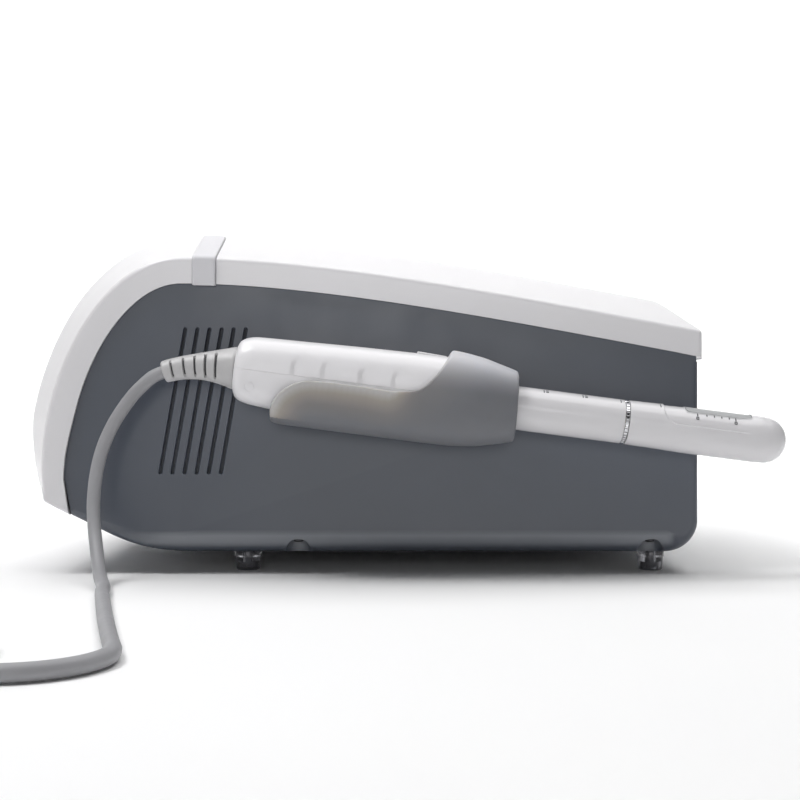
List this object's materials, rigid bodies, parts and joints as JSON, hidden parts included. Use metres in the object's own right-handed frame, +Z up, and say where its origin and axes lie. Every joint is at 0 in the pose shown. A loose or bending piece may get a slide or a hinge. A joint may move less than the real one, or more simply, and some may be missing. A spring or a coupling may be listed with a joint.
{
  "type": "ultrasound therapy device",
  "caption": "Desktop ultrasound therapy unit: white bevelled cover with a front touchscreen on a grey vented base, and a slim motorised probe handpiece resting in a side holster.",
  "frame": {"origin": "centre of the unit's footprint, handpiece included and cord left out, on the surface that its feet stand on", "axes": "+Z up, +X towards the rear panel, -X towards the operator's screen, -Y towards the side with the holster"},
  "size_m": [0.5575, 0.6726, 0.2325],
  "materials": {
    "cover_white": "gloss",
    "band_grey_white": "satin",
    "housing_slate": "satin",
    "holster_grey": "satin",
    "probe_white": "gloss",
    "smoky_clear": "gloss",
    "screen_glass": "gloss",
    "membrane_film": "gloss",
    "chrome": "polished",
    "steel": "satin",
    "aluminium": "satin",
    "brass": "satin",
    "circuit_board": "satin",
    "black_plastic": "satin",
    "cord_grey": "matte"
  },
  "bodies": {
    "console": {"chassis_plate": "aluminium", "cord_coil": "cord_grey", "cord_connector": "black_plastic", "cord_lower": "cord_grey", "cord_tie": "black_plastic", "display_module": "black_plastic", "driver_board": "circuit_board", "fan_frame": "black_plastic", "foot_front_far": "smoky_clear", "foot_front_near": "smoky_clear", "foot_rear_far": "smoky_clear", "foot_rear_near": "smoky_clear", "foot_screw_1": "steel", "foot_screw_2": "steel", "foot_screw_3": "steel", "foot_screw_4": "steel", "front_bezel": "cover_white", "handpiece_socket": "chrome", "heat_sink": "aluminium", "holster": "holster_grey", "holster_screw_1": "steel", "holster_screw_2": "steel", "housing_screw_1": "steel", "housing_screw_2": "steel", "housing_screw_3": "steel", "housing_screw_4": "steel", "lower_housing": "housing_slate", "main_board": "circuit_board", "mains_inlet": "black_plastic", "output_transformer": "black_plastic", "panel_screw_1": "steel", "panel_screw_2": "steel", "panel_screw_3": "steel", "panel_screw_4": "steel", "power_supply": "steel", "power_switch_body": "black_plastic", "processor_heat_spreader": "aluminium", "rear_panel": "black_plastic", "rear_top_cover": "cover_white", "seam_band": "band_grey_white", "speaker": "black_plastic", "touchscreen_glass": "screen_glass"},
    "handpiece": {"handle_upper_shell": "probe_white", "handle_lower_shell": "probe_white", "strain_relief": "cord_grey", "handle_board": "circuit_board", "probe_tube": "probe_white", "chrome_ring": "chrome", "cartridge_shell": "probe_white", "membrane_window": "membrane_film", "drive_motor": "steel", "rod_guide": "black_plastic", "cord_upper": "cord_grey"},
    "trigger": {"trigger_button": "band_grey_white"},
    "carriage": {"push_rod": "brass", "transducer": "steel", "transducer_lens": "membrane_film"},
    "screw": {"drive_screw": "steel"},
    "rocker": {"power_rocker": "black_plastic"},
    "rotor": {"fan_rotor": "black_plastic"}
  },
  "joints": [
    {"name": "handpiece_pull_out", "type": "slide", "parent": "console", "child": "handpiece", "axis": [-0.9917, 0, 0.1288], "range_m": [0, 0.34]},
    {"name": "trigger_press", "type": "slide", "parent": "handpiece", "child": "trigger", "axis": [-0.1288, 0, -0.9917], "range_m": [0, 0.0012], "stiffness_N_per_m": 900},
    {"name": "transducer_travel", "type": "slide", "parent": "handpiece", "child": "carriage", "axis": [0.9917, 0, -0.1288], "range_m": [0, 0.025]},
    {"name": "drive_screw_spin", "type": "hinge", "parent": "handpiece", "child": "screw", "pos_m": [-0.00447, -0.1574, 0.12239], "axis": [0.9917, 0, -0.1288], "range_deg": [0, 1801]},
    {"name": "power_rocker_tilt", "type": "hinge", "parent": "console", "child": "rocker", "pos_m": [0.1977, 0.1031, 0.108], "axis": [0, 0, -1], "range_deg": [0, 20]},
    {"name": "fan_spin", "type": "hinge", "parent": "console", "child": "rotor", "pos_m": [0.1863, -0.0329, 0.0905], "axis": [1, 0, 0], "continuous": true}
  ],
  "couplings": [
    {"joint": "drive_screw_spin", "follows": "transducer_travel", "rad_per_m": 1256.6}
  ]
}
